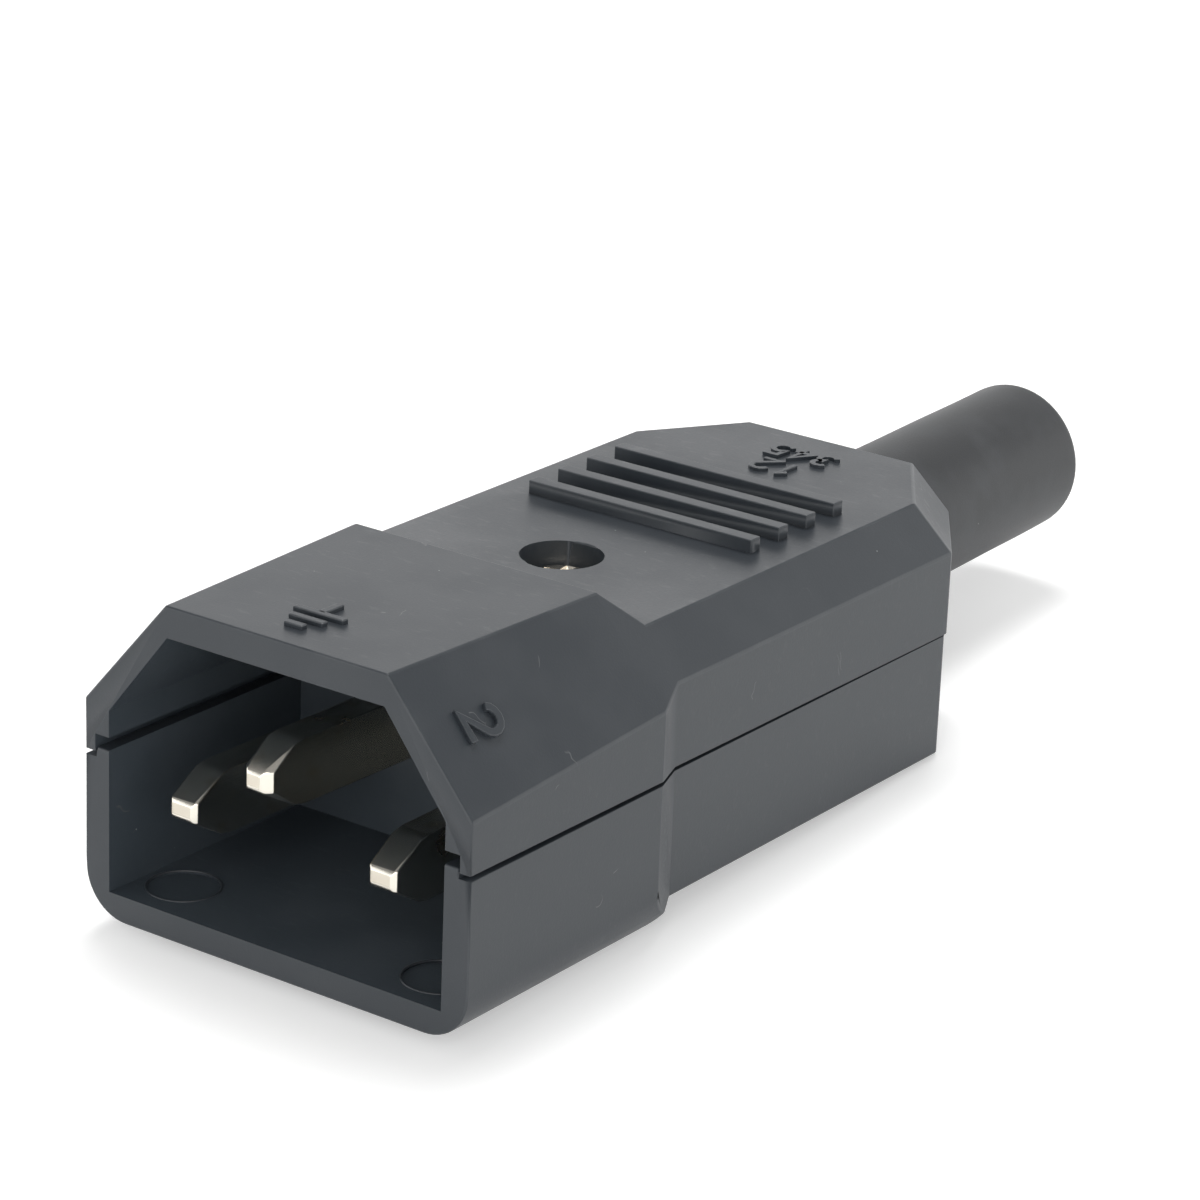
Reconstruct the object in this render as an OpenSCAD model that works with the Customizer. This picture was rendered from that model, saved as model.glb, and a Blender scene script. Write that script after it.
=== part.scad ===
// Rewirable cable plug of the pattern that mates a C13 connector, in millimetres.
// Mouth towards -Y, cable towards +Y, Z up, standing on the flat of its shroud.
// Two moulded shells close on three blades, a cord clamp and a rubber sleeve.

/* [Shroud] */
// Width over the flat sides
shroud_w = 27.8; // [27:0.1:34]
// Height from the base to the top flat
shroud_h = 20.3; // [17:0.1:25]
// Length of the raised part behind the mouth
shroud_len = 17.8; // [16:0.1:22]
// Width of the top flat at the mouth
mouth_flat = 15.8; // [14:0.1:18]
// Width that the top flat gains along the shroud
flat_gain = 1.8; // [0:0.1:3]
// Slope of the upper edge bevels
bevel_deg = 49.5; // [40:0.5:55]
// Radius of the lower edges
corner_r = 3; // [1:0.1:4]
// Wall thickness of both shells
wall = 1.8; // [1.5:0.05:2.4]

/* [Cavity] */
// Depth from the mouth to the bulkhead
cavity_depth = 17; // [14.2:0.1:21]
// Width of the cavity top between its bevels
cavity_flat = 15.5; // [13:0.1:17]
// Height of the cavity side below its bevel
cavity_side = 11.2; // [9:0.1:13]
// Thickness of the bulkhead that holds the blades
bulkhead_t = 3.3; // [2.5:0.1:4]

/* [Body] */
// Length from the mouth to the back wall
body_len = 56.2; // [54:0.1:68]
// Side step from shroud to body
side_step = 0.8; // [0.2:0.1:1.5]
// Step in height from shroud to body, above and below
rise_step = 2; // [0.5:0.1:2.4]
// Length of the sloped step
step_run = 2.3; // [1:0.1:3]
// Depth of the upper bevel on the side
bevel_drop = 2.9; // [1.5:0.1:4]
// Length of each rear corner cut along the side
cut_len = 6.7; // [4:0.1:8]
// Depth of each rear corner cut across the back
cut_in = 4.4; // [3:0.1:6]
// Height of the parting plane
part_z = 9.85; // [8.2:0.05:11]
// Gap left between the shells at the mouth
mouth_gap = 0.35; // [0.05:0.05:0.5]

/* [Grip ribs] */
// Number of ribs across the cover
rib_count = 4; // [0:1:6]
// Spacing of the ribs
rib_pitch = 3; // [2:0.1:3.5]
// Width of a rib along the plug
rib_t = 1; // [0.4:0.1:1.4]
// Height of a rib
rib_h = 0.85; // [0.3:0.05:1]
// Length of a rib
rib_len = 16.6; // [10:0.1:18]

/* [Blades] */
// Distance between the line and neutral blades
blade_pitch = 14; // [13:0.1:15]
// Blade thickness
blade_w = 2; // [1.6:0.1:2.4]
// Blade height
blade_h = 4; // [3.3:0.1:4.8]
// Distance of the line and neutral tips behind the mouth
tip_back = 0.9; // [0.5:0.1:5]
// Lead of the earth blade over the other two
earth_lead = 1.5; // [0.5:0.1:2.5]

/* [Terminals] */
// Travel of a wire clamp plate
plate_travel = 2; // [1:0.1:2.4]
// Diameter of the terminal and clamp screws
screw_d = 3; // [2.5:0.1:3.5]
// Diameter of their heads
head_d = 4.6; // [4:0.1:5]

/* [Cord] */
// Outer diameter of the rubber sleeve
sleeve_d = 10.1; // [8.4:0.1:11]
// Bore of the sleeve
sleeve_bore = 7; // [5:0.1:8]
// Length of the sleeve beyond the back wall
sleeve_len = 23.4; // [15:0.1:35]
// Height of the cord axis above the middle of the body
cord_rise = 0.6; // [0:0.1:0.8]
// Width of the cord clamp along the plug
clamp_w = 5; // [4:0.1:6]
// Travel of the cord clamp
clamp_travel = 2.4; // [1:0.1:2.8]

/* [Cover screw] */
// Distance of the cover screw behind the mouth
cover_y = 26.4; // [25:0.1:28]
// Bore of the recess round its head
recess_d = 5.1; // [4.8:0.1:5.4]
// Depth of the head below the cover
head_sunk = 1.1; // [0.4:0.1:1.6]

/* [View] */
// Piece to draw

/* [Hidden] */
$fn = 40;
big = 200;
fit = 0.05;
slack = 0.1;
overall = body_len + sleeve_len;
front = min(0, tip_back - earth_lead);
body_w = shroud_w - 2 * side_step;
body_z = rise_step - 0.05;
body_top = shroud_h - rise_step - 0.15;
bevel_z = body_top - bevel_drop;
lean = 90 - bevel_deg;
gain_deg = atan(flat_gain / 2 / shroud_len);
cut_deg = atan(cut_in / cut_len);
back_slope = 0.8;
shell_drop = 0.15;
cavity_w = shroud_w - 2 * wall;
cavity_z = wall - 0.1;
cavity_top = shroud_h - wall - 0.1;
chamber_y = cavity_depth + bulkhead_t;
floor_z = body_z + wall;
ceiling_z = body_top - wall;
side_in = body_w / 2 - wall;
tongue_t = wall * 0.52;
tongue_h = 0.6;
rabbet_h = 1.4;
gap_end = 45;
side_z = part_z - 0.1 - blade_h;
earth_z = part_z;
term_x = blade_pitch / 2 + 1;
term_w = 5.2;
term_len = 7;
term_y = chamber_y + 0.3;
seat_h = 1.4;
term_h = 3.5;
term_bot = floor_z + seat_h;
term_top = term_bot + term_h;
nose_h = 0.6;
nose_len = 2.3;
side_coin = 0.3;
earth_coin = 0.55;
tail_x = 3.3;
tail_t = 1.2;
boss_r = 2.8;
barrier_x = tail_x + tail_t + 0.15;
barrier_t = 0.6;
screw_y = term_y + 4;
plate_t = 0.9;
plate_w = 4.8;
thread_grip = 2.1;
screw_len = plate_t + plate_travel + thread_grip;
earth_y = cover_y + 4.6;
earth_len = 6.4;
earth_top = term_top + 0.2;
earth_bot = earth_top - 2.5;
earth_sy = earth_y + 3.4;
head_h = 1.6;
axis_z = (body_z + body_top) / 2 + cord_rise;
flange_r = min(sleeve_d / 2 + 1.2, axis_z - floor_z - slack, ceiling_z - slack - axis_z);
flange_t = 2;
back_in = body_len - wall - 0.5;
flange_y = back_in - flange_t - slack;
rib_back = 1.3;
clamp_y = body_len - 14.2;
post_z = axis_z - 1.3;
strap_t = 1.8;
strap_len = body_w - 2 * wall - 2.6;
clamp_x = strap_len / 2 - 2.4;
arch_in = sleeve_bore / 2 + 0.7;
arch_t = 1.6;
tooth_h = 0.45;
tooth_pitch = clamp_w * 0.34;
clamp_screw_len = strap_t + clamp_travel + thread_grip + 0.2;
shank_d = 2.5;
nut_af = 5;
nut_h = 2;
cover_head_r = recess_d / 2 - 0.25;
cover_head_h = 1.7;
cover_seat = body_top - head_sunk - cover_head_h;
well_floor = 1.2;
tail_top = cover_seat - well_floor - 0.3;
first_rib = cover_y + 7.7;
pin_mark_r = 2.2;
pin_mark_in = 2.7;
pin_mark_y = 3.4;
pin_mark_depth = 0.15;

module placed() {
  translate([0, -(overall + front) / 2, 0]) children();
}

module both() {
  children();
  mirror([1, 0, 0]) children();
}

// Everything beyond a plane through p whose normal is turned by yaw and raised by up.
module beyond(p, yaw, up, g) {
  translate(p) rotate([0, 0, yaw]) rotate([0, -up, 0])
    translate([-g, -big, -big]) cube([big, 2 * big, 2 * big]);
}

// The body's outer form, shrunk by g on every face and by r more at the rear.
module body_form(y0, g, r) {
  difference() {
    translate([-body_w / 2 + g, y0, body_z + g])
      cube([body_w - 2 * g, body_len - g - r - y0, body_top - body_z - 2 * g]);
    both() {
      beyond([body_w / 2, 0, bevel_z], 0, lean, g);
      beyond([body_w / 2, body_len - cut_len, 0], cut_deg, 0, g + r);
      beyond([body_w / 2, body_len - cut_len, bevel_z], cut_deg, lean, g);
    }
    beyond([0, body_len, bevel_z], 90, atan(back_slope / bevel_drop), g);
  }
}

// Shroud section with round lower edges, as a flat shape in X and Z.
module shroud_section() {
  w = shroud_w / 2;
  union() {
    translate([-w, corner_r]) square([shroud_w, shroud_h - corner_r]);
    translate([-w + corner_r, 0]) square([shroud_w - 2 * corner_r, corner_r + 1]);
    for (s = [-1, 1])
      translate([s * (w - corner_r), corner_r]) circle(r = corner_r);
  }
}

// Side view of shroud and step, as a flat shape in Y and Z.
module shroud_side() {
  e = shroud_len + step_run;
  polygon([[0, 0], [shroud_len, 0], [e, body_z], [e, body_top], [shroud_len, shroud_h],
    [0, shroud_h]]);
}

// Plan of shroud and step, as a flat shape in X and Y.
module shroud_plan() {
  w = shroud_w / 2;
  b = body_w / 2;
  e = shroud_len + step_run;
  polygon([[-w, 0], [w, 0], [w, shroud_len], [b, e], [-b, e], [-w, shroud_len]]);
}

module shroud_form() {
  e = shroud_len + step_run;
  difference() {
    intersection() {
      translate([0, e, 0]) rotate([90, 0, 0]) linear_extrude(e) shroud_section();
      translate([-shroud_w, 0, 0]) rotate([90, 0, 90])
        linear_extrude(2 * shroud_w) shroud_side();
      linear_extrude(shroud_h) shroud_plan();
    }
    both() {
      beyond([mouth_flat / 2, 0, shroud_h], -gain_deg, lean, 0);
      beyond([body_w / 2, 0, bevel_z], 0, lean, 0);
    }
  }
}

module cavity() {
  w = cavity_w / 2;
  f = cavity_flat / 2;
  translate([0, cavity_depth, 0]) rotate([90, 0, 0]) linear_extrude(cavity_depth + 1)
    polygon([[-w, cavity_z], [w, cavity_z], [w, cavity_z + cavity_side], [f, cavity_top],
      [-f, cavity_top], [-w, cavity_z + cavity_side]]);
}

module hollow(r) {
  difference() {
    union() {
      shroud_form();
      body_form(shroud_len + step_run - 0.01, 0, r);
    }
    cavity();
    intersection() {
      body_form(chamber_y, wall, r);
      translate([-big / 2, chamber_y, -1]) cube([big, back_in - chamber_y, big]);
    }
  }
}

// Plan inside the walls, set in by d, from y0 to y1.
module wall_plan(d, y0, y1) {
  w = shroud_w / 2 - d;
  b = body_w / 2 - d;
  e = shroud_len + step_run;
  c = body_len - cut_len;
  k = c - d * tan(cut_deg / 2);
  h = body_w / 2 - (d + (y1 - c) * sin(cut_deg)) / cos(cut_deg);
  polygon([[-w, y0], [w, y0], [w, shroud_len], [b, e], [b, k], [h, y1], [-h, y1], [-b, k],
    [-b, e], [-w, shroud_len]]);
}

// The tongue on the parting line, grown by g, from z0 to z1.
module tongue(g, z0, z1) {
  o = wall - tongue_t;
  translate([0, 0, z0]) linear_extrude(z1 - z0)
    difference() {
      wall_plan(o - g, 0 - g * 10, back_in + g);
      wall_plan(wall + g, -2, back_in + 2);
    }
}

// Lying cylinder along Y on the cord axis.
module bar_y(r, y0, len) {
  translate([0, y0 + len, axis_z]) rotate([90, 0, 0]) cylinder(r = r, h = len);
}

module block(x0, x1, y0, y1, z0, z1) {
  translate([x0, y0, z0]) cube([x1 - x0, y1 - y0, z1 - z0]);
}

module hex(af, z0, h) {
  translate([0, cover_y, z0]) cylinder(d = af / cos(30), h = h, $fn = 6);
}

// Space above the parting line, with the gap that closes towards the rear.
module above_parting() {
  translate([-big / 2, 0, 0]) rotate([90, 0, 90]) linear_extrude(big)
    polygon([[-1, part_z + mouth_gap], [gap_end, part_z + fit], [body_len + 1, part_z + fit],
      [body_len + 1, big], [-1, big]]);
}

// Walls either side of the sleeve's flange, between two heights.
module sleeve_ribs(z0, z1, r) {
  intersection() {
    block(-body_w, body_w, flange_y - slack - rib_back, flange_y - slack, z0, z1);
    body_form(chamber_y, wall / 2, r);
  }
}

module sleeve_holes() {
  bar_y(sleeve_d / 2 + slack, flange_y + flange_t, body_len);
  bar_y(sleeve_bore / 2 + 0.8, flange_y - 5, 6);
}

module top_shell() {
  color([0.1, 0.1, 0.11]) difference() {
    union() {
      intersection() {
        hollow(0);
        above_parting();
      }
      intersection() {
        union() {
          translate([0, cover_y, part_z]) cylinder(r = boss_r, h = ceiling_z + 0.5 - part_z);
          translate([0, cover_y, cover_seat - well_floor])
            cylinder(r = recess_d / 2 + 1.2, h = ceiling_z + 0.5 + well_floor - cover_seat);
          sleeve_ribs(part_z, ceiling_z + 0.5, 0);
        }
        above_parting();
      }
      for (i = [0 : 1 : rib_count - 1])
        block(-rib_len / 2, rib_len / 2, first_rib + i * rib_pitch,
          first_rib + i * rib_pitch + rib_t, body_top - 0.2, body_top + rib_h);
    }
    tongue(slack, part_z - 1, part_z + rabbet_h);
    block(-blade_w / 2 - fit, blade_w / 2 + fit, cavity_depth - 1, chamber_y + 1, part_z - 1,
      earth_z + blade_h + slack);
    translate([0, cover_y, 0]) cylinder(d = shank_d + 2 * slack, h = big);
    translate([0, cover_y, cover_seat]) cylinder(d = recess_d, h = big);
    sleeve_holes();
  }
}

// Seat for a terminal, with a stop rib behind it and room for the screw's tip.
module seat(x0, x1, y0, y1, top, sx, sy) {
  difference() {
    union() {
      block(x0, x1, y0, y1 + 1, floor_z - 0.5, top);
      block(x0, x1, y1 + fit, y1 + 1, floor_z - 0.5, top + 1.8);
    }
    translate([sx, sy, floor_z]) cylinder(d = screw_d + 1, h = big);
  }
}

module bottom_shell() {
  color([0.09, 0.09, 0.1]) difference() {
    union() {
      difference() {
        hollow(shell_drop);
        translate([-big / 2, -1, part_z]) cube([big, big, big]);
      }
      tongue(0, part_z - 0.3, part_z + tongue_h);
      both() {
        seat(term_x - term_w / 2, side_in + 0.3, chamber_y - 0.5, term_y + term_len, term_bot,
          term_x, screw_y);
        block(barrier_x, barrier_x + barrier_t, chamber_y - 0.5, term_y + term_len + 2,
          floor_z - 0.5, part_z - 0.25);
        translate([clamp_x, clamp_y, floor_z - 0.5])
          cylinder(r = 2.5, h = post_z - floor_z + 0.5);
      }
      seat(-plate_w / 2 - 0.5, tail_x + tail_t, earth_y - 0.2, earth_y + earth_len, earth_bot,
        0, earth_sy);
      translate([0, cover_y, body_z + 0.3]) cylinder(r = boss_r + 0.4, h = part_z - body_z - 0.4);
      difference() {
        block(-clamp_x, clamp_x, clamp_y - 1.2, clamp_y + 1.2, floor_z - 0.5, post_z - 0.8);
        bar_y(arch_in, clamp_y - 5, 10);
      }
      sleeve_ribs(body_z + 1, part_z, shell_drop);
    }
    both() {
      block(blade_pitch / 2 - blade_w / 2 - fit, blade_pitch / 2 + blade_w / 2 + fit,
        cavity_depth - 1, term_y + 1, side_z, big);
      translate([clamp_x, clamp_y, floor_z + 0.1]) cylinder(d = screw_d + 2 * fit, h = big);
    }
    for (s = [-1, 1])
      translate([s * (cavity_w / 2 - pin_mark_in), pin_mark_y, cavity_z - pin_mark_depth])
        cylinder(r = pin_mark_r, h = 1);
    hex(nut_af + slack, -1, body_z + 3.7);
    translate([0, cover_y, 0]) cylinder(d = shank_d + 2 * slack, h = big);
    sleeve_holes();
  }
}

// Bar of the given length with a coined nose at the origin, pointing to -Y.
// Its corners are cut back by coin at the nose and run out along the slope.
module bar(len, coin) {
  h = blade_h / 2;
  w = blade_w / 2;
  climb = h - 0.15 - nose_h;
  difference() {
    intersection() {
      translate([-w, 0, 0]) rotate([90, 0, 90]) linear_extrude(blade_w)
        polygon([[0, 0.25 - nose_h], [0.15, -nose_h], [nose_len, 0.15 - h],
          [nose_len + 0.8, -h], [len, -h], [len, h], [nose_len + 0.8, h],
          [nose_len, h - 0.15], [0.15, nose_h], [0, nose_h - 0.25]]);
      translate([0, 0, -h]) linear_extrude(blade_h)
        polygon([[coin - w, 0], [w - coin, 0], [w, coin], [w, len], [-w, len], [-w, coin]]);
    }
    both()
      for (s = [-1, 1])
        beyond([w - coin, 0, s * nose_h], -45, s * atan((nose_len - coin) / (climb * sqrt(2))), 0);
  }
}

module side_blade(s) {
  end = term_y + 0.9;
  difference() {
    union() {
      translate([s * blade_pitch / 2, tip_back, side_z + blade_h / 2]) bar(end - tip_back, side_coin);
      block(s * term_x - term_w / 2, s * term_x + term_w / 2, term_y, term_y + term_len,
        term_bot, term_top);
    }
    translate([s * term_x, screw_y, 0]) cylinder(d = screw_d + 2 * fit, h = big);
  }
}

module line_blade() {
  color([0.78, 0.74, 0.64]) side_blade(-1);
}

module neutral_blade() {
  color([0.78, 0.74, 0.64]) side_blade(1);
}

// The earth blade's tail passes beside the cover screw and drops to its terminal.
module earth_blade() {
  tip = tip_back - earth_lead;
  y0 = chamber_y + 0.3;
  t = tail_x + tail_t;
  color([0.8, 0.76, 0.66]) difference() {
    union() {
      translate([0, tip, earth_z + blade_h / 2]) bar(y0 + 0.5 - tip, earth_coin);
      translate([0, 0, earth_z]) linear_extrude(tail_top - earth_z)
        polygon([[-blade_w / 2, y0], [blade_w / 2, y0], [blade_w / 2, y0 + 0.6], [t, y0 + 2.8],
          [t, earth_y + 1], [tail_x, earth_y + 1], [tail_x, y0 + 3.4], [-blade_w / 2, y0 + 0.8]]);
      block(tail_x, t, earth_y - 1.5, earth_y + 2.5, earth_bot, tail_top);
      block(-plate_w / 2 - 0.5, t, earth_y, earth_y + earth_len, earth_bot, earth_top);
    }
    translate([0, earth_sy, 0]) cylinder(d = screw_d + 2 * fit, h = big);
  }
}

module plate(x, y, top) {
  c = plate_w / 2;
  color([0.72, 0.68, 0.56]) translate([x, y, top + fit]) difference() {
    linear_extrude(plate_t)
      polygon([[-c, -c + 0.6], [-c + 0.6, -c], [c - 0.6, -c], [c, -c + 0.6], [c, c - 0.6],
        [c - 0.6, c], [-c + 0.6, c], [-c, c - 0.6]]);
    translate([0, 0, -1]) cylinder(d = screw_d + 2 * slack, h = 5);
  }
}

// Pan-head screw, its seat at the origin and its shank downwards.
module screw(d, len, hr, hh) {
  difference() {
    union() {
      translate([0, 0, -len]) cylinder(d = d, h = len + 0.2);
      rotate_extrude()
        polygon([[0, 0], [hr, 0], [hr, hh * 0.5], [hr * 0.9, hh * 0.78], [hr * 0.55, hh],
          [0, hh]]);
    }
    for (a = [0, 90])
      rotate([0, 0, a]) translate([-hr * 0.6, -0.35, hh - 0.8]) cube([hr * 1.2, 0.7, 2]);
  }
}

module terminal_screw(x, y, top) {
  color([0.75, 0.75, 0.77]) translate([x, y, top + plate_t + 2 * fit])
    screw(screw_d, screw_len, head_d / 2, head_h);
}

// Strap with an arch over the cord and grip teeth across its inside.
module cord_clamp() {
  z0 = post_z + fit;
  c = z0 - 1.5;
  l = strap_len / 2;
  color([0.12, 0.12, 0.13]) difference() {
    union() {
      translate([0, clamp_y + clamp_w / 2, 0]) rotate([90, 0, 0]) linear_extrude(clamp_w)
        difference() {
          union() {
            translate([-l, z0]) square([2 * l, strap_t]);
            intersection() {
              translate([0, c]) circle(r = arch_in + arch_t);
              translate([-l, z0]) square([2 * l, big]);
            }
          }
          translate([0, c]) circle(r = arch_in);
        }
      for (i = [-1, 0, 1])
        translate([0, clamp_y + i * tooth_pitch, c]) rotate([90, 0, 0])
          intersection() {
            difference() {
              cylinder(r = arch_in + 0.2, h = 0.6, center = true);
              cylinder(r = arch_in - tooth_h, h = 2, center = true);
            }
            translate([-l, z0 - c, -1]) cube([2 * l, big, 2]);
          }
    }
    both()
      translate([clamp_x, clamp_y, 0]) cylinder(d = screw_d + 2 * slack, h = big);
  }
}

module clamp_screw(s) {
  color([0.75, 0.75, 0.77]) translate([s * clamp_x, clamp_y, post_z + strap_t + 2 * fit])
    screw(screw_d, clamp_screw_len, head_d / 2, head_h);
}

module cover_screw() {
  color([0.8, 0.77, 0.68]) translate([0, cover_y, cover_seat])
    screw(shank_d, cover_seat - body_z - 0.4, cover_head_r, cover_head_h);
}

module cover_nut() {
  color([0.75, 0.75, 0.77]) difference() {
    hex(nut_af, body_z + 2.7 - nut_h, nut_h);
    translate([0, cover_y, 0]) cylinder(d = shank_d + 2 * fit, h = big);
  }
}

// Rubber sleeve with a flange held between the shells' rear walls.
module cable_sleeve() {
  r = sleeve_d / 2;
  b = sleeve_bore / 2;
  e = overall - flange_y;
  color([0.13, 0.13, 0.14]) translate([0, flange_y, axis_z]) rotate([-90, 0, 0])
    rotate_extrude()
      polygon([[b, 0], [flange_r - 0.3, 0], [flange_r, 0.3], [flange_r, flange_t - 0.1],
        [r, flange_t - 0.1], [r, e - 0.9], [r - 0.25, e - 0.35], [r - 0.8, e], [b + 0.3, e],
        [b, e - 0.3]]);
}

placed() top_shell();
placed() bottom_shell();
placed() line_blade();
placed() neutral_blade();
placed() earth_blade();
placed() plate(-term_x, screw_y, term_top);  // line_plate
placed() plate(term_x, screw_y, term_top);  // neutral_plate
placed() plate(0, earth_sy, earth_top);  // earth_plate
placed() terminal_screw(-term_x, screw_y, term_top);  // line_screw
placed() terminal_screw(term_x, screw_y, term_top);  // neutral_screw
placed() terminal_screw(0, earth_sy, earth_top);  // earth_screw
placed() cord_clamp();
placed() clamp_screw(-1);  // clamp_screw_left
placed() clamp_screw(1);  // clamp_screw_right
placed() cover_screw();
placed() cover_nut();
placed() cable_sleeve();
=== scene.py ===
# Looks of a rewirable cable plug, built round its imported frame.
# Mouth towards -Y, cable towards +Y. Sizes beside the code are in millimetres.
import math

import bmesh
import bpy
from mathutils import Matrix, Vector, noise
from mathutils.bvhtree import BVHTree


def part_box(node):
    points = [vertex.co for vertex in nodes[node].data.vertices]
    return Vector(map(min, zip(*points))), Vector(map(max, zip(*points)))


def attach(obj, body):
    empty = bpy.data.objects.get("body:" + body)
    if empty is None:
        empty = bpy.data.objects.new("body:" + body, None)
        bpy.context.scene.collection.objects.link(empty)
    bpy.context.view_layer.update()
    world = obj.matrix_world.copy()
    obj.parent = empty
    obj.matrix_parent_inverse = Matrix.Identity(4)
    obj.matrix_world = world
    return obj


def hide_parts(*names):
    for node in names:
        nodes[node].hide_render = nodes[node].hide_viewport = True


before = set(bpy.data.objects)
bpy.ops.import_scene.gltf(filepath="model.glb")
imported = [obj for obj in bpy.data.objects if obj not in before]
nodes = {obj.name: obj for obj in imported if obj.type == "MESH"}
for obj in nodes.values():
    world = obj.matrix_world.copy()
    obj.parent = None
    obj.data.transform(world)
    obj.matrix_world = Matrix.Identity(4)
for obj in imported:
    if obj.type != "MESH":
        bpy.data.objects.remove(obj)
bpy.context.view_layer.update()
mm = 0.001
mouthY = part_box("bottom_shell")[0].y  # the mouth's plane
print("frame loaded:", len(nodes), "nodes")


def at(x, y, z):
    # a place in millimetres, y counted back from the mouth
    return Vector((x * mm, y * mm + mouthY, z * mm))


def depthOf(spot):
    # millimetres behind the mouth
    return (spot.y - mouthY) / mm


def within(value, reach):
    return reach[0] < value < reach[1]


class Wire:
    # one output socket that sums and products can be written with
    def __init__(self, tree, socket):
        self.tree = tree
        self.socket = socket

    def other(self, name):
        # another output of the node this one comes from
        return Wire(self.tree, self.socket.node.outputs[name])

    def node(self, kind, settings=None, out=0, **sockets):
        # any other node: settings first, then sockets, each by its name or by its number as in i0
        made = self.tree.nodes.new(kind)
        for name, value in (settings or {}).items():
            setattr(made, name, value)
        for name, value in sockets.items():
            key = int(name[1:]) if name[1:].isdigit() else name.replace("_", " ")
            target = made.inputs[key]
            if isinstance(value, Wire):
                self.tree.links.new(value.socket, target)
            else:
                target.default_value = value
        return Wire(self.tree, made.outputs[out])

    def maths(self, operation, first, second):
        return self.node("ShaderNodeMath", {"operation": operation}, i0=first, i1=second)

    def __add__(self, other):
        return self.maths("ADD", self, other)

    def __sub__(self, other):
        return self.maths("SUBTRACT", self, other)

    def __rsub__(self, other):
        return self.maths("SUBTRACT", other, self)

    def __mul__(self, other):
        return self.maths("MULTIPLY", self, other)

    __radd__ = __add__
    __rmul__ = __mul__

    def cells(self, size, feature="F1"):
        # distance to the nearest of random points about size millimetres apart
        return self.node("ShaderNodeTexVoronoi", {"feature": feature}, Vector=self, Scale=1 / (size * mm))

    def clouds(self, size, detail=2.0):
        # noise with lumps of about size millimetres
        return self.node("ShaderNodeTexNoise", Vector=self, Scale=1 / (size * mm), Detail=detail)

    def stretched(self, x, y, z):
        # the same place with its axes scaled
        return self.node("ShaderNodeVectorMath", {"operation": "MULTIPLY"}, i0=self, i1=(x, y, z))

    def shaken(self, size, amount):
        # the place pushed about by noise, so that straight things wander
        push = self.clouds(size).other("Color")
        spread = self.node("ShaderNodeVectorMath", {"operation": "SCALE"}, i0=push, Scale=amount * mm)
        return self.node("ShaderNodeVectorMath", {"operation": "ADD"}, i0=self, i1=spread)

    def step(self, low, high, start=0.0, end=1.0):
        # a smooth climb from start to end as the value goes from low to high
        settings = {"interpolation_type": "SMOOTHSTEP"}
        return self.node("ShaderNodeMapRange", settings, Value=self, i1=low, i2=high, i3=start, i4=end)

    def tint(self, under, over):
        # under where this mask is 0, over where it is 1
        settings = {"data_type": "RGBA"}
        return self.node("ShaderNodeMix", settings, out=2, i0=self, i6=under, i7=over)

    def bump(self):
        # the normal of a surface with these heights, in millimetres
        return self.node("ShaderNodeBump", Height=self, Distance=mm, Strength=1.0)


def rgba(colour):
    return (*colour, 1.0)


def newObject(build, name):
    # an object from a mesh under construction
    mesh = bpy.data.meshes.new(name)
    build.to_mesh(mesh)
    build.free()
    made = bpy.data.objects.new(name, mesh)
    bpy.context.collection.objects.link(made)
    return made


camera = {
    "place": (141.8, -169.3, 104.4),
    "yaw": -35.365,  # degrees clockwise from +Y, seen from above
    "down": 20.22,  # degrees below level
    "roll": 2.255,
    "lens": 129.83,
    "sensor": 36,
}

stage = {
    "frontRest": 17.8,  # where the shroud's underside touches the floor, back from the mouth
    "backRest": 56.0,  # and where the body's does
    "backLift": 1.95,  # how far the body's underside stands above the shroud's
    "floorSize": 4000,
    "floorColour": (0.8, 0.8, 0.795),
    "floorRoughness": 0.9,
    "floorGloss": 0.1,
    "lift": 0.38,  # what the camera sees on top of the floor's own light
}

lamps = {
    # name: place and size in metres, power in watts
    "overhead": ((-0.2, 0.25, 1.2), 0.5, 8.5),
    "front": ((0.5, -0.9, 0.7), 0.6, 2.5),
}

sky = {
    "horizon": 1.6,
    "zenith": 0.3,
    "fadeFrom": 0.33,  # heights on a sphere of radius 1
    "fadeTo": 0.51,
}


def setCamera(look):
    yaw, down, roll = (math.radians(look[k]) for k in ("yaw", "down", "roll"))
    ahead = Vector((math.sin(yaw) * math.cos(down), math.cos(yaw) * math.cos(down), -math.sin(down)))
    side = Vector((math.cos(yaw), -math.sin(yaw), 0))
    rise = side.cross(ahead)
    right = side * math.cos(roll) + rise * math.sin(roll)
    up = rise * math.cos(roll) - side * math.sin(roll)
    turn = Matrix((right, up, -ahead)).transposed().to_4x4()
    made = bpy.data.objects.new("camera", bpy.data.cameras.new("camera"))
    made.data.lens = look["lens"]
    made.data.sensor_width = look["sensor"]
    made.data.clip_start = 0.01
    made.matrix_world = Matrix.Translation(at(*look["place"])) @ turn
    bpy.context.collection.objects.link(made)
    bpy.context.scene.camera = made


def seenRays(tree):
    # 1 for rays that show the background itself or its reflection
    path = tree.nodes.new("ShaderNodeLightPath")
    seen = Wire(tree, path.outputs["Is Camera Ray"])
    for name in ("Is Glossy Ray", "Is Transmission Ray"):
        seen = seen.maths("MAXIMUM", seen, Wire(tree, path.outputs[name]))
    return seen


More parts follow.
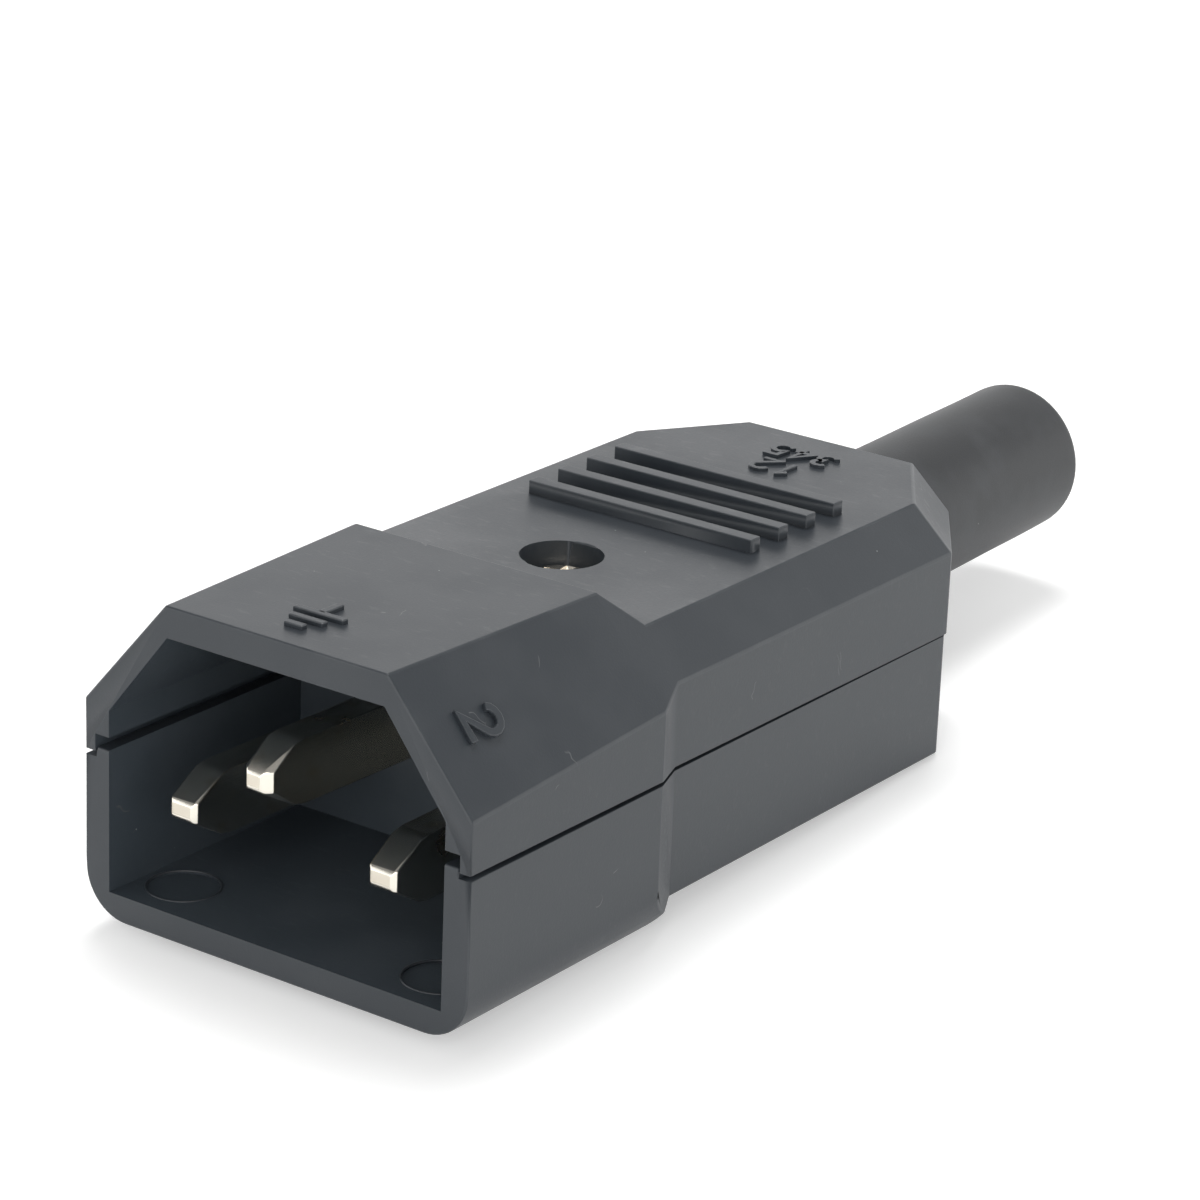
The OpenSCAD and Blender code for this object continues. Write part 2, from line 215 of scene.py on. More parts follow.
def makeFloor(look):
    lean = math.atan2(look["backLift"], look["backRest"] - look["frontRest"])
    build = bmesh.new()
    bmesh.ops.create_grid(build, x_segments=4, y_segments=4, size=look["floorSize"] * mm / 2)
    floor = newObject(build, "floor")
    floor.matrix_world = Matrix.Translation(at(0, look["frontRest"], 0)) @ Matrix.Rotation(lean, 4, "X")
    made = bpy.data.materials.new("paleFloor")
    made.use_nodes = True
    tree = made.node_tree
    shader = tree.nodes["Principled BSDF"]
    shader.inputs["Base Color"].default_value = rgba(look["floorColour"])
    shader.inputs["Roughness"].default_value = look["floorRoughness"]
    shader.inputs["Specular IOR Level"].default_value = look["floorGloss"]
    shader.inputs["Emission Color"].default_value = (1, 1, 1, 1)
    glow = seenRays(tree) * look["lift"]
    tree.links.new(glow.socket, shader.inputs["Emission Strength"])
    floor.data.materials.append(made)


def makeLamps(places):
    for name, (place, size, power) in places.items():
        data = bpy.data.lights.new(name, "AREA")
        data.shape = "SQUARE"
        data.size = size
        data.energy = power
        lamp = bpy.data.objects.new(name, data)
        lamp.location = place
        lamp.rotation_euler = (-Vector(place)).to_track_quat("-Z", "Y").to_euler()
        bpy.context.collection.objects.link(lamp)


def makeWorld(look):
    world = bpy.data.worlds.new("studio")
    bpy.context.scene.world = world
    world.use_nodes = True
    tree = world.node_tree
    shader = tree.nodes["Background"]
    way = Wire(tree, tree.nodes.new("ShaderNodeTexCoord").outputs["Generated"])
    height = way.node("ShaderNodeSeparateXYZ", out=2, Vector=way)
    dome = height.step(look["fadeFrom"], look["fadeTo"], look["horizon"], look["zenith"])
    tree.links.new(dome.socket, shader.inputs["Strength"])
    shader.inputs["Color"].default_value = (1, 1, 1, 1)


setCamera(camera)
makeFloor(stage)
makeLamps(lamps)
makeWorld(sky)
bpy.context.scene.view_settings.view_transform = "Standard"
print("stage set")


def newMaterial(name):
    # a material, its shader, and the place on the piece in metres
    made = bpy.data.materials.new(name)
    made.use_nodes = True
    shader = made.node_tree.nodes["Principled BSDF"]
    shader.inputs["IOR"].default_value = 1.5
    shader.inputs["Specular IOR Level"].default_value = 0.5
    place = made.node_tree.nodes.new("ShaderNodeTexCoord")
    return made, shader, Wire(made.node_tree, place.outputs["Object"])


def connect(shader, **sockets):
    tree = shader.id_data
    for name, value in sockets.items():
        tree.links.new(value.socket, shader.inputs[name.replace("_", " ")])


dirtLook = {
    "speckGap": 1.7,  # mean distance between specks
    "speckSize": 0.06,
    "speckShare": 0.2,  # share of the specks that show
    "speckColour": (0.32, 0.33, 0.33),
    "fibreGap": 9.0,
    "fibreWidth": 0.035,
    "fibreBend": (2.5, 4.0),  # length of its bends, and how far they go
    "fibreLength": 3.3,
    "fibreFade": (0.64, 0.67),  # noise at which fibres begin to show and are full
    "fibreColour": (0.1, 0.105, 0.11),
}

shellLook = {
    "colour": (0.028, 0.034, 0.041),
    "pale": (0.034, 0.04, 0.047),
    "patch": 5.0,  # size of the paler patches
    "patchFade": (0.4, 0.68),
    "roughness": 0.4,
    "grain": 0.14,
    "grainDepth": 0.006,
    "scuff": 0.4,
    "scuffWay": (0.3, 1.0, 0.6),  # a small number makes them long along that axis
    "scuffBend": (1.4, 0.5),
    "scuffFade": (0.58, 0.7),
    "wave": 6.0,  # slow unevenness of the moulded faces
    "waveDepth": 0.012,
}

# the finish of rounded edges: a paler, glossier copy of the shell plastic, partly rubbed wear and partly a
# painted highlight along the edges
edgeWearAndHighlightLook = dict(shellLook, colour=(0.036, 0.042, 0.049), pale=(0.05, 0.056, 0.063), roughness=0.38)
# the cavity's walls: a lighter, bluer copy of the shell plastic, painted light that stands in for the light
# inside the cavity
cavityPaintedLightLook = dict(shellLook, colour=(0.05, 0.063, 0.076), pale=(0.058, 0.071, 0.085), roughness=0.5)
clampLook = dict(shellLook, colour=(0.034, 0.035, 0.037), roughness=0.5, grain=0.2)

rubberLook = {
    "colour": (0.034, 0.036, 0.039),
    "bloom": (0.05, 0.053, 0.057),  # the powdery paler patches
    "patch": 3.5,
    "patchFade": (0.42, 0.7),
    "roughness": 0.52,
    "grain": 0.1,
    "grainDepth": 0.01,
}

brassLook = {
    "colour": (0.83, 0.79, 0.7),
    "tarnish": (0.6, 0.52, 0.4),
    "patch": 2.2,  # size of the tarnished patches
    "tarnishFrom": 0.52,  # noise at which the tarnish begins
    "roughness": 0.2,
    "scratch": 0.004,  # depth
    "scratchSize": 1.1,
    "scratchWay": (9.0, 0.6, 9.0),  # drawn out along the plug
    "pit": 0.25,
}

shearedLook = dict(brassLook, colour=(0.68, 0.63, 0.54), roughness=0.46, scratch=0.01, tarnishFrom=0.6)
plateLook = dict(brassLook, colour=(0.72, 0.62, 0.4), tarnish=(0.4, 0.3, 0.15), roughness=0.3)
zincLook = dict(brassLook, colour=(0.68, 0.69, 0.71), tarnish=(0.4, 0.4, 0.42), roughness=0.28)
nickelLook = dict(brassLook, colour=(0.86, 0.8, 0.7), tarnish=(0.6, 0.5, 0.38), roughness=0.2)


def dusted(place, base, look):
    # specks and short fibres laid over a base colour, and the mask of the specks
    cell = place.cells(look["speckGap"])
    hue = cell.other("Color")
    luck = hue.node("ShaderNodeSeparateColor", Color=hue)
    reach = look["speckSize"] / look["speckGap"]
    speck = cell.step(reach, reach * 0.5) * luck.step(1 - look["speckShare"], 1.01 - look["speckShare"])
    strand = place.shaken(*look["fibreBend"]).cells(look["fibreGap"], "DISTANCE_TO_EDGE")
    width = look["fibreWidth"] / look["fibreGap"]
    fibre = strand.step(width, width * 0.4) * place.clouds(look["fibreLength"]).step(*look["fibreFade"])
    tinted = fibre.tint(base, rgba(look["fibreColour"]))
    return speck.tint(tinted, rgba(look["speckColour"])), speck


def mouldedPlastic(name, look):
    made, shader, place = newMaterial(name)
    patch = place.clouds(look["patch"], 4.0).step(*look["patchFade"])
    base = patch.tint(rgba(look["colour"]), rgba(look["pale"]))
    dirty, speck = dusted(place, base, dirtLook)
    grain = place.clouds(look["grain"], 3.0)
    smear = place.stretched(*look["scuffWay"]).shaken(*look["scuffBend"])
    scuff = smear.clouds(look["scuff"], 5.0).step(*look["scuffFade"])
    average = 0.05  # what the grain and the patches add
    rough = grain * 0.08 + patch * 0.05 + speck * 0.3 - scuff * 0.05 + (look["roughness"] - average)
    relief = grain * look["grainDepth"] + place.clouds(look["wave"]) * look["waveDepth"]
    connect(shader, Base_Color=dirty, Roughness=rough, Normal=relief.bump())
    return made


def softRubber(name, look):
    made, shader, place = newMaterial(name)
    bloom = place.clouds(look["patch"], 5.0).step(*look["patchFade"])
    base = bloom.tint(rgba(look["colour"]), rgba(look["bloom"]))
    dirty = dusted(place, base, dirtLook)[0]
    grain = place.clouds(look["grain"], 3.0)
    average = 0.06  # what the grain and the bloom add
    rough = grain * 0.1 + bloom * 0.06 + (look["roughness"] - average)
    relief = grain * look["grainDepth"]
    connect(shader, Base_Color=dirty, Roughness=rough, Normal=relief.bump())
    return made


def workedMetal(name, look):
    made, shader, place = newMaterial(name)
    shader.inputs["Metallic"].default_value = 1.0
    worn = place.clouds(look["patch"], 4.0).step(look["tarnishFrom"], look["tarnishFrom"] + 0.3)
    base = worn.tint(rgba(look["colour"]), rgba(look["tarnish"]))
    lines = place.stretched(*look["scratchWay"]).clouds(look["scratchSize"], 4.0)
    average = 0.06  # what the tarnish and the scratches add
    rough = worn * 0.1 + lines * 0.12 + (look["roughness"] - average)
    relief = lines * look["scratch"] + place.clouds(look["pit"]) * (look["scratch"] * 0.5)
    connect(shader, Base_Color=base, Roughness=rough, Normal=relief.bump())
    return made


shellPlastic = mouldedPlastic("shellPlastic", shellLook)
edgeWearAndHighlight = mouldedPlastic("edgeWearAndHighlight", edgeWearAndHighlightLook)
cavityPaintedLight = mouldedPlastic("cavityPaintedLight", cavityPaintedLightLook)
clampPlastic = mouldedPlastic("clampPlastic", clampLook)
sleeveRubber = softRubber("sleeveRubber", rubberLook)
platedBrass = workedMetal("platedBrass", brassLook)
shearedBrass = workedMetal("shearedBrass", shearedLook)
plainBrass = workedMetal("plainBrass", plateLook)
zincSteel = workedMetal("zincSteel", zincLook)
warmNickel = workedMetal("warmNickel", nickelLook)
print("finishes made:", len(bpy.data.materials))


def makePiece(build, name, body, finishes):
    # turns a mesh under construction into a piece that rides on a body
    made = newObject(build, name)
    for finish in finishes:
        made.data.materials.append(finish)
    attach(made, body)
    return made


def closeSkin(build):
    # faces that look outward and shade smoothly
    bmesh.ops.recalc_face_normals(build, faces=build.faces)
    for face in build.faces:
        face.smooth = True


def evenShading(obj):
    even = obj.modifiers.new("even", "WEIGHTED_NORMAL")
    even.weight = 100
    even.keep_sharp = True


def addBevel(obj, width, steps, finish, limit="WEIGHT", clamp=False):
    soft = obj.modifiers.new("soften", "BEVEL")
    soft.width = width * mm
    soft.segments = steps
    soft.limit_method = limit
    soft.use_clamp_overlap = clamp
    soft.material = finish


softening = {
    "weld": 0.004,  # points closer than this become one
    "flat": 1,  # degrees; faces that turn by less become one
    "steps": 3,
    "shortest": 0.12,  # an inner piece's shorter edges stay sharp
}


def softened(node, name, body, finishes, rounding, crease=24, sortFace=None, reshape=None):
    # a copy of a CAD node with clean faces, and with edges rounded that turn by over crease degrees;
    # rounding is what tells an edge's kind, and a width for each kind that is rounded
    sortEdge, widths = rounding
    build = bmesh.new()
    build.from_mesh(nodes[node].data)
    bmesh.ops.remove_doubles(build, verts=build.verts, dist=softening["weld"] * mm)
    flat = math.radians(softening["flat"])
    bmesh.ops.dissolve_limit(build, angle_limit=flat, verts=build.verts, edges=build.edges)
    weights = build.edges.layers.float.new("bevel_weight_edge")
    most = max(widths.values())
    for edge in build.edges:
        if not edge.is_manifold or edge.calc_face_angle(0) < math.radians(crease):
            continue
        edge[weights] = widths.get(sortEdge(edge), 0) / most
        edge.smooth = edge[weights] > 0
    for face in build.faces:
        face.smooth = True
        if sortFace:
            face.material_index = sortFace(face)
    if reshape:
        for vert in build.verts:
            vert.co = reshape(vert.co)
    made = makePiece(build, name, body, finishes)
    # the bevels take the paler edge finish, rubbed wear with a painted highlight, where the piece has it
    wearHighlightIndex = finishes.index(edgeWearAndHighlight) if edgeWearAndHighlight in finishes else -1  # -1: as the faces beside it
    addBevel(made, most, softening["steps"], wearHighlightIndex)
    evenShading(made)
    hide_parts(node)


# The moulded shells. Places along the plug are counted back from the mouth.
shells = {
    "outer": 0.13,  # how far each kind of edge is rounded
    "rib": 0.07,
    "parting": 0.04,
    "step": 0.05,
    "crease": 12,
    "tongue": 0.6,  # height of the base's tongue above the parting
    "bodyDrop": 2.15,  # how far the body's top lies under the shroud's
    "ribReach": (33.5, 44.5),
    "stepReach": (17.6, 20.3),
    "cavityReach": 17.5,
}

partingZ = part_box("bottom_shell")[1].z - shells["tongue"] * mm
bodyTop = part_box("top_shell")[1].z - shells["bodyDrop"] * mm


def shellEdge(edge):
    # the kind of an edge, from where it lies and how its faces look
    if not edge.is_convex:
        return "hollow"
    middle = (edge.verts[0].co + edge.verts[1].co) / 2
    run = edge.verts[1].co - edge.verts[0].co
    across = abs(run.y) < 0.3 * run.length
    depth = depthOf(middle)
    looks = [face.normal for face in edge.link_faces]
    ends = [abs(way.y) > 0.95 for way in looks]
    out = [way.x * middle.x + way.z * (middle.z - partingZ) > 0.5 * mm for way in looks]
    level = [abs(way.z) > 0.95 and abs(middle.z - partingZ) < 0.5 * mm for way in looks]
    if middle.z > bodyTop + 0.05 * mm and within(depth, shells["ribReach"]):
        return "rib"
    if all(out) and within(depth, shells["stepReach"]) and across:
        return "step"
    if all(one or other for one, other in zip(out, ends)) and not all(ends):
        return "outer"
    if any(level) and any(out):
        return "parting"
    return "inner"


def shellFace(face):
    # 1 for the cavity's walls, which look at its axis, and for its bulkhead; these take the lighter, bluer
    # plastic, painted light inside the cavity
    spot = face.calc_center_median()
    depth = depthOf(spot)
    if depth > shells["cavityReach"]:
        return 0
    if abs(face.normal.y) > 0.9:
        return int(depth > 1)
    return int(face.normal.x * spot.x + face.normal.z * (spot.z - partingZ) < 0)


def makeShell(node, name, body, look):
    widths = {kind: look[kind] for kind in ("outer", "rib", "parting", "step")}
    # the second finish, for the cavity, is painted light: lighter and bluer than the shell
    # the third finish is the paler one for rounded edges: rubbed wear with a painted highlight
    finishes = (shellPlastic, cavityPaintedLight, edgeWearAndHighlight)
    softened(node, name, body, finishes, (shellEdge, widths), look["crease"], shellFace)


makeShell("top_shell", "cover_shell", "cover", shells)
makeShell("bottom_shell", "base_shell", "base", shells)
print("shells softened")


def lathe(build, profile, steps, turn=Matrix.Identity(4), closed=False):
    # rings of (radius, height) pairs in millimetres, about the axis that turn maps Z to
    angles = [2 * math.pi * k / steps for k in range(steps)]
    rings = []
    for radius, height in profile:
        if radius == 0:
            rings.append([build.verts.new(turn @ Vector((0, 0, height * mm)))] * steps)
            continue
        spots = [Vector((radius * math.cos(a), radius * math.sin(a), height)) * mm for a in angles]
        rings.append([build.verts.new(turn @ spot) for spot in spots])
    pairs = list(zip(rings, rings[1:]))
    if closed:
        pairs.append((rings[-1], rings[0]))
    for low, high in pairs:
        for k in range(steps):
            after = (k + 1) % steps
            corners = []
            for corner in (low[k], low[after], high[after], high[k]):
                if corner not in corners:
                    corners.append(corner)
            if len(corners) > 2:
                build.faces.new(corners)


def arc(middle, radius, start, end, steps):
    # points of a circle's arc, angles in degrees
    angles = [math.radians(start + (end - start) * k / steps) for k in range(steps + 1)]
    return [(middle[0] + radius * math.cos(a), middle[1] + radius * math.sin(a)) for a in angles]


# The rubber sleeve, which leans up a little from its hole to its free end.
sleeve = {
    "outer": 5.05,  # radii
    "bore": 3.5,
    "flange": 1.9,  # thickness
    "edge": 0.3,  # chamfers of the flange's front and of its root
    "backEdge": 0.2,
    "rim": 0.8,  # rounding of its free end
    "flare": 0.35,  # of the bore, at the free end
    "wall": 56.2,  # where it leaves the shells, back from the mouth
    "lift": 0.11,  # how far above its hole's axis it leaves
    "ease": 4,  # the lift comes in over this length, before the wall and again after it
    "climb": 0.028,  # rise for each millimetre beyond the wall
    "sag": 0.06,  # out-of-round of the soft wall
    "sagSize": 6.25,
    "rings": 30,
    "steps": 72,
}


def sleeveProfile(wide, long, look):
    # half the section, from the bore's inner end round the outside and back down the bore
    outer, bore, flange, edge = (look[k] for k in ("outer", "bore", "flange", "edge"))
    rim, flare, backEdge, rings = (look[k] for k in ("rim", "flare", "backEdge", "rings"))
    profile = [(bore, 0), (wide - edge, 0), (wide, edge)]
    profile += [(wide, flange - backEdge), (wide - backEdge, flange)]
    profile += [(outer + edge, flange), (outer, flange + edge)]
    straight = flange + 2 * edge
    profile += [(outer, straight + (long - rim - straight) * k / rings) for k in range(rings + 1)]
    profile += arc((outer - rim, long - rim), rim, 10, 90, 8)
    profile += [(bore + flare, long), (bore + 0.1, long - 0.1), (bore, long - flare)]
    inward, count = long - flare - 0.05, 20
    profile += [(bore, long - flare - inward * k / count) for k in range(1, count)]
    return profile


def makeSleeve(look):
    low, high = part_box("cable_sleeve")
    profile = sleeveProfile((high.x - low.x) / mm / 2, (high.y - low.y) / mm, look)
    axis = (low.z + high.z) / 2
    turn = Matrix.Translation((0, low.y, axis)) @ Matrix.Rotation(math.radians(-90), 4, "X")
    build = bmesh.new()
    lathe(build, profile, look["steps"], turn, closed=True)
    for vert in build.verts:
        beyond = max(depthOf(vert.co) - look["wall"] + look["ease"], 0)
        share = min(beyond / look["ease"] / 2, 1)
        rise = look["lift"] * share + look["climb"] * max(beyond - look["ease"], 0)
        soft = noise.noise(vert.co / (look["sagSize"] * mm)) * look["sag"] * share
        vert.co.z += (rise + soft) * mm
    closeSkin(build)
    made = makePiece(build, "rubber_sleeve", "base", (sleeveRubber,))
    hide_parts("cable_sleeve")


makeSleeve(sleeve)
print("sleeve made")


# Rings that the mould's ejector pins left on the cavity's floor.
pinMark = {
    "radius": 2.2,
    "width": 0.16,
    "height": 0.07,
    "sunk": 0.05,
    "place": (9.4, 3.4, 1.7),
    "steps": 64,
}


def makePinMarks(look):
    x, y, z = look["place"]
    inner, outer = look["radius"] - look["width"] / 2, look["radius"] + look["width"] / 2
    rim = look["width"] / 4
    profile = [(inner, -look["sunk"]), (inner, 0), (inner + rim, look["height"])]
    profile += [(outer - rim, look["height"]), (outer, 0), (outer, -look["sunk"])]
    for side, name in ((-1, "left"), (1, "right")):
        build = bmesh.new()
        lathe(build, profile, look["steps"], Matrix.Translation(at(side * x, y, z)), closed=True)
        closeSkin(build)
        # the rings take the paler edge finish: rubbed wear with a painted highlight on them
        makePiece(build, "pin_mark_" + name, "base", (edgeWearAndHighlight,))


makePinMarks(pinMark)
print("pin marks made")


# Raised marks: strokes laid on a face, in the mark's own plane with Y up.
marks = {
    "stroke": 0.5,
    "height": 0.28,
    "sunk": 0.1,
    "soft": 0.07,
    "spacing": 0.85,  # from one sign to the next, a share of the size
    "middle": (0.3, 0.5),  # of a figure, shares of the size
    "earthMiddle": 0.55,
    "earth": ((-0.35, 4.2, 20), 3.6),  # a place at the face, and the size
    "pole": ((10.9, 4.35, 16.9), 2.6),
    "poleWay": (0.76, 0.65),  # inward and down, into the shroud's bevel
    "numbers": {"12": (0.45, 48.4, 18), "345": (0.45, 51.4, 18)},
    "numberSize": 2.0,
    "small": {"stroke": 0.36, "height": 0.22, "soft": 0.05},  # the numbers' strokes
}

glyphs = {
    "1": [[(0.1, 0.78), (0.3, 1.0), (0.3, 0.0)]],
    "2": [arc((0.3, 0.7), 0.3, 165, -35, 8) + [(0.0, 0.0), (0.62, 0.0)]],
    "3": [arc((0.28, 0.74), 0.26, 150, -80, 7) + arc((0.28, 0.29), 0.29, 80, -150, 8)],
    "4": [[(0.42, 0.0), (0.42, 1.0), (0.0, 0.32), (0.62, 0.32)]],
    "5": [[(0.56, 1.0), (0.08, 1.0), (0.05, 0.56)] + arc((0.27, 0.32), 0.32, 110, -150, 9)],
    "earth": [
        [(0.0, 1.1), (0.0, 0.6)],
        [(-0.5, 0.6), (0.5, 0.6)],
        [(-0.34, 0.3), (0.34, 0.3)],
        [(-0.18, 0.0), (0.18, 0.0)],
    ],
}


def strokeSides(points, width):
    # the two edges of a stroke, mitred at its corners
    spots = [Vector(spot) for spot in points]
    ways = [(after - spot).normalized() for spot, after in zip(spots, spots[1:])]
    sides = []
    for spot, into, away in zip(spots, ways[:1] + ways, ways + ways[-1:]):
        across = Vector((-into.y - away.y, into.x + away.x)).normalized()
        reach = width / 2 / max(across.dot(Vector((-away.y, away.x))), 0.5)
        sides.append((spot + across * reach, spot - across * reach))
    return sides


def raiseStroke(build, points, size, seat, look):
    sunk, height = look["sunk"], look["height"]
    rings = []
    for left, right in strokeSides([(x * size, y * size) for x, y in points], look["stroke"]):
        corners = [(left, -sunk), (left, height), (right, height), (right, -sunk)]
        rings.append([build.verts.new(seat @ Vector((*spot * mm, level * mm))) for spot, level in corners])
    for first, second in zip(rings, rings[1:]):
        for k in range(4):
            after = (k + 1) % 4
            build.faces.new((first[k], first[after], second[after], second[k]))
    build.faces.new(rings[0][::-1])
    build.faces.new(rings[-1])


def makeMark(name, signs, seat, size, look):
    build = bmesh.new()
    wide = look["spacing"] * size
    start = -wide * (len(signs) - 1) / 2
    for k, sign in enumerate(signs):
        shift = Matrix.Translation(((start + k * wide) * mm, 0, 0))
        for points in glyphs[sign]:
            raiseStroke(build, points, size, seat @ shift, look)
    bmesh.ops.recalc_face_normals(build, faces=build.faces)
    # the marks' rounded edges take the paler edge finish: rubbed wear with a painted highlight
    finishes = (shellPlastic, edgeWearAndHighlight)
    made = makePiece(build, name, "cover", finishes)
    addBevel(made, look["soft"], 2, finishes.index(edgeWearAndHighlight), "ANGLE", clamp=True)
    evenShading(made)


coverMesh = nodes["top_shell"].data
coverSkin = BVHTree.FromPolygons(
    [vert.co for vert in coverMesh.vertices], [face.vertices for face in coverMesh.polygons]
)


def seatOn(spot, way, up):
    # a matrix whose Z stands on the cover where a ray along way meets it
    foot, normal, _, _ = coverSkin.ray_cast(spot - way * 0.02, way)
    rise = (up - normal * up.dot(normal)).normalized()
    side = rise.cross(normal)
    return Matrix.Translation(foot) @ Matrix((side, rise, normal)).transposed().to_4x4()


def centred(seat, size, look):
    # the seat moved so that a figure's middle stands on it
    across, up = look["middle"]
    return seat @ Matrix.Translation((-across * size * mm, -up * size * mm, 0))


def makeMarks(look):
    down = Vector((0, 0, -1))
    back = Vector((0, 1, 0))
    (x, y, z), size = look["earth"]
    seat = seatOn(at(x, y - size * look["earthMiddle"], z), down, back)
    makeMark("earth_mark", ["earth"], seat, size, look)
    (x, y, z), size = look["pole"]
    inward, under = look["poleWay"]
    for side, sign in ((-1, "1"), (1, "2")):
        seat = seatOn(at(side * x, y, z), Vector((-side * inward, 0, -under)), back)
        makeMark("pole_mark_" + sign, [sign], centred(seat, size, look), size, look)
    size = look["numberSize"]
    for text, place in look["numbers"].items():
        seat = seatOn(at(*place), down, -back)
        makeMark("number_" + text, list(text), centred(seat, size, look), size, dict(look, **look["small"]))


makeMarks(marks)
print("marks raised")


# Screws: pan heads with a cross recess and rolled threads.
screwShape = {
    "tip": 0.8,  # the point's radius, a share of the core's
    "tipHeight": 0.35,
    "pitch": 0.5,
    "depth": 0.28,
    "rows": 8,  # rows of points for each turn
    "firstRow": 0.4,
    "spare": 0.6,  # length of the shank that the thread leaves at its ends
    "neck": 0.5,  # plain shank under the head, and how much thinner it is
    "neckIn": 0.1,
    "edge": 0.15,  # chamfer under the head
    "upright": 0.42,  # share of the head's height that is upright
    "level": 0.45,  # share of its radius that is level on top
    "recess": (0.62, 0.15),  # reach and half width of the cross, shares of the radius
    "recessDepth": 0.62,  # share of the head's height
    "crease": 35,  # degrees; edges that turn by more stay sharp
    "steps": 36,
}

screws = {
    # node: slot, finish, head height, head radius, shank radius, turn of its recess in degrees
    "line_screw": ("screw", zincSteel, 1.6, 2.3, 1.5, 20),
    "neutral_screw": ("screw", zincSteel, 1.6, 2.3, 1.5, 65),
    "earth_screw": ("screw", zincSteel, 1.6, 2.3, 1.5, 40),
    "clamp_screw_left": ("screw", zincSteel, 1.6, 2.3, 1.5, 10),
    "clamp_screw_right": ("screw", zincSteel, 1.6, 2.3, 1.5, 75),
    "cover_screw": ("plated_screw", warmNickel, 1.7, 2.3, 1.25, 8),
}


def crossCutter(radius, top, depth, look):
    # a cross that cuts the driver recess: wider above the head's top, narrower at the bottom
    reach, half = look["recess"]
    build = bmesh.new()
    rings = []
    for share, height in ((1.0, top + 0.5), (0.92, top), (0.5, top - depth)):
        far, near = radius * reach * share, radius * half * share
        ring = []
        for quarter in range(4):
            turn = Matrix.Rotation(math.radians(90 * quarter), 3, "Z")
            for spot in ((far, -near), (far, near), (near, near)):
                ring.append(build.verts.new(turn @ Vector((*spot, height)) * mm))
        rings.append(ring)
    count = len(rings[0])
    for low, high in zip(rings, rings[1:]):
        for k in range(count):
            after = (k + 1) % count
            build.faces.new((low[k], low[after], high[after], high[k]))
    build.faces.new(rings[0])
    build.faces.new(rings[-1][::-1])
    bmesh.ops.recalc_face_normals(build, faces=build.faces)
    return newObject(build, "cutter")


def screwProfile(seat, headHeight, headRadius, shankRadius, rowCount, look):
    # half the section, from the point to the top of the head, whose underside is at seat
    core = shankRadius - look["depth"]
    neck = shankRadius - look["neckIn"]
    edge, upright, level = look["edge"], look["upright"], look["level"]
    profile = [(0, 0), (core * look["tip"], 0), (core, look["tipHeight"])]
    profile += [(core, look["firstRow"] + k * look["pitch"] / look["rows"]) for k in range(rowCount + 1)]
    profile += [(neck, seat - look["neck"]), (neck, seat), (headRadius - edge, seat)]
    profile += [(headRadius, seat + edge), (headRadius, seat + headHeight * upright)]
    for angle in range(15, 90, 15):
        turned = math.radians(angle)
        radius = headRadius * (level + (1 - level) * math.cos(turned))
        profile.append((radius, seat + headHeight * (upright + (1 - upright) * math.sin(turned))))
    profile += [(headRadius * level, seat + headHeight), (0, seat + headHeight)]
    return profile


def rollThread(build, core, rowCount, look):
    # pushes the shank's points out along a helix, which fades in over its first turn
    pitch = look["pitch"]
    start = look["firstRow"] - 0.01
    end = look["firstRow"] + 0.01 + rowCount * pitch / look["rows"]
    for vert in build.verts:
        height = vert.co.z / mm
        flat = Vector((vert.co.x, vert.co.y))
        if flat.length > core * 0.99 * mm and within(height, (start, end)):
            phase = (height / pitch - math.atan2(flat.y, flat.x) / 2 / math.pi) % 1
            ridge = 1 - abs(2 * phase - 1)
            grown = core + look["depth"] * ridge * min((height - start) / pitch, 1)
            vert.co.x, vert.co.y = flat.normalized() * grown * mm


def recessed(blank, cutter):
    # the blank's mesh with the cutter taken out of it; both objects go
    cut = blank.modifiers.new("recess", "BOOLEAN")
    cut.operation = "DIFFERENCE"
    cut.object = cutter
    cut.solver = "EXACT"
    mesh = bpy.data.meshes.new_from_object(blank.evaluated_get(bpy.context.evaluated_depsgraph_get()))
    for extra in (blank, cutter):
        bpy.data.objects.remove(extra)
    return mesh


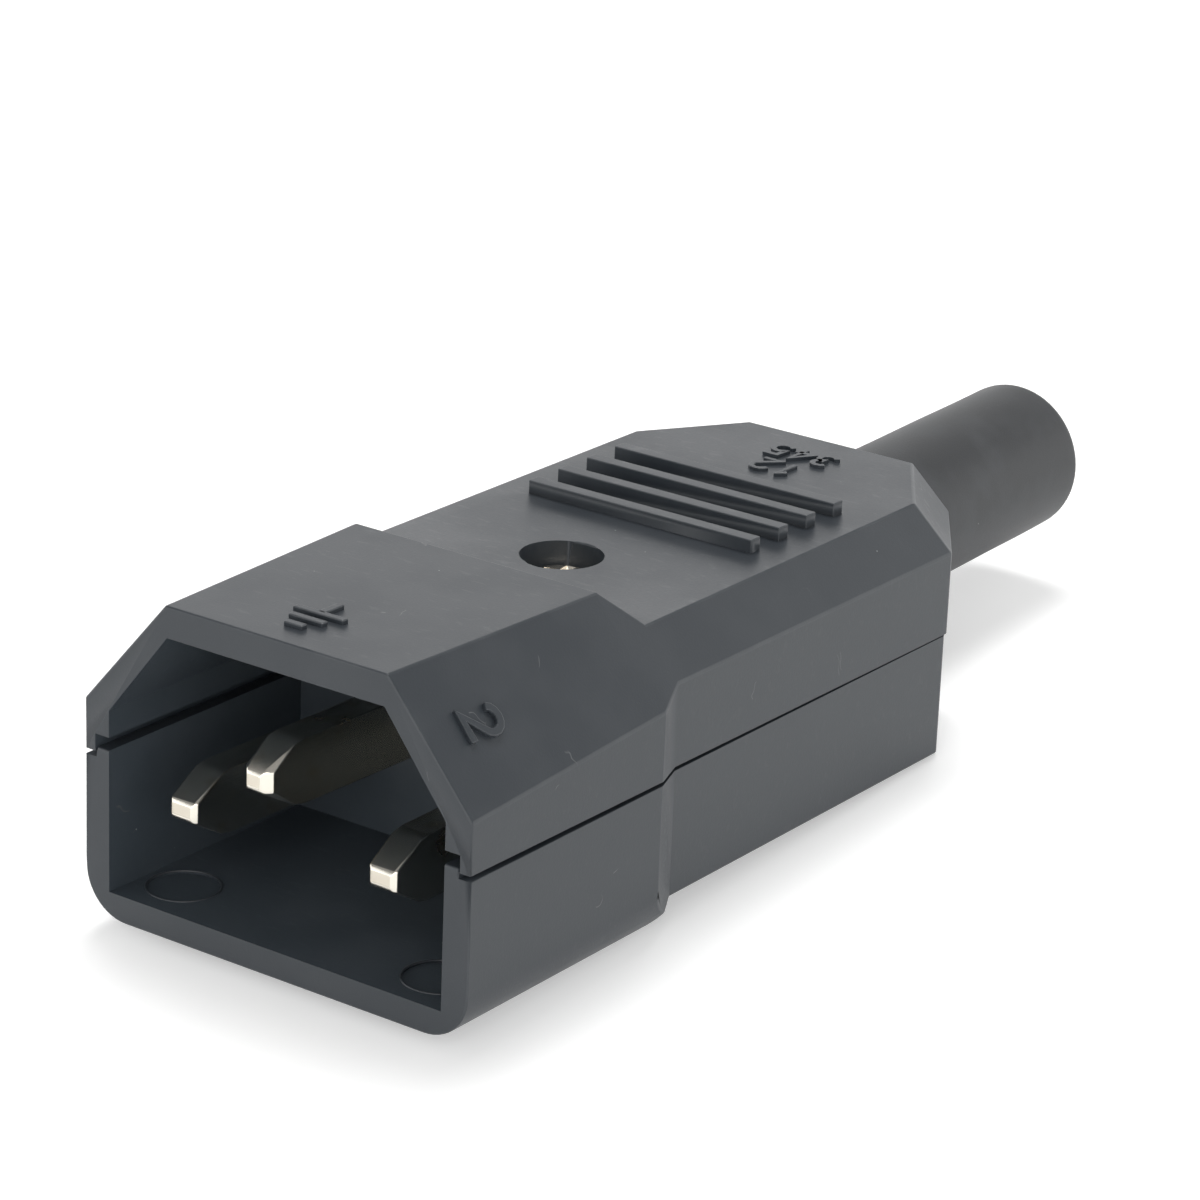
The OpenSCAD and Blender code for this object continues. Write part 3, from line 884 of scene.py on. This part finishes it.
def makeScrew(node, slotName, finish, headHeight, headRadius, shankRadius, recessTurn, look):
    low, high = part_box(node)
    seat = (high.z - low.z) / mm - headHeight
    rowCount = int((seat - look["neck"] - look["spare"]) / look["pitch"] * look["rows"])
    build = bmesh.new()
    profile = screwProfile(seat, headHeight, headRadius, shankRadius, rowCount, look)
    lathe(build, profile, look["steps"])
    rollThread(build, shankRadius - look["depth"], rowCount, look)
    closeSkin(build)
    blank = newObject(build, node + "_blank")
    cutter = crossCutter(headRadius, seat + headHeight, headHeight * look["recessDepth"], look)
    shaped = recessed(blank, cutter)
    middle = Vector(((low.x + high.x) / 2, (low.y + high.y) / 2, low.z))
    shaped.transform(Matrix.Rotation(math.radians(recessTurn), 4, "Z"))
    shaped.transform(Matrix.Translation(middle))
    build = bmesh.new()
    build.from_mesh(shaped)
    for edge in build.edges:
        edge.smooth = edge.calc_face_angle(0) < math.radians(look["crease"])
    made = makePiece(build, node + "_threaded", node, (finish,))
    evenShading(made)
    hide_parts(node)


for node, shape in screws.items():
    makeScrew(node, *shape, screwShape)
print("screws threaded")


inside = {
    # node: body, slot, finish, rounding of its edges
    "line_plate": ("line_plate", "plate", plainBrass, 0.08),
    "neutral_plate": ("neutral_plate", "plate", plainBrass, 0.08),
    "earth_plate": ("earth_plate", "plate", plainBrass, 0.08),
    "cord_clamp": ("cord_clamp", "clamp", clampPlastic, 0.15),
    "cover_nut": ("base", "screw", zincSteel, 0.15),
}


def convexEdge(edge):
    return "outer" if edge.is_convex and edge.calc_length() > softening["shortest"] * mm else "inner"


for node, (body, slotName, finish, width) in inside.items():
    softened(node, node + "_worked", body, (finish,), (convexEdge, {"outer": width}))
print("inner pieces softened")


# The blades stand a little aside in their slots.
blades = {
    "rounding": 0.08,
    "root": 17.0,  # where the bulkhead holds them
    "aside": {"line_blade": -0.45, "neutral_blade": 0.0, "earth_blade": -0.9},  # at the tip
}


def makeBlade(node, aside, look):
    tip = depthOf(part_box(node)[0])

    def leant(spot):
        # the tip goes aside and the root stays
        share = max(look["root"] - depthOf(spot), 0) / (look["root"] - tip)
        return spot + Vector((aside * share * mm, 0, 0))

    def shearedFace(face):
        # 1 for the blunt front that the shear left
        return int(face.normal.y < -0.9 and depthOf(face.calc_center_median()) < tip + 0.5)

    rounding = (convexEdge, {"outer": look["rounding"]})
    finishes = (platedBrass, shearedBrass)
    softened(node, node + "_worked", "base", finishes, rounding, sortFace=shearedFace, reshape=leant)


for node, aside in blades["aside"].items():
    makeBlade(node, aside, blades)
print("blades made")
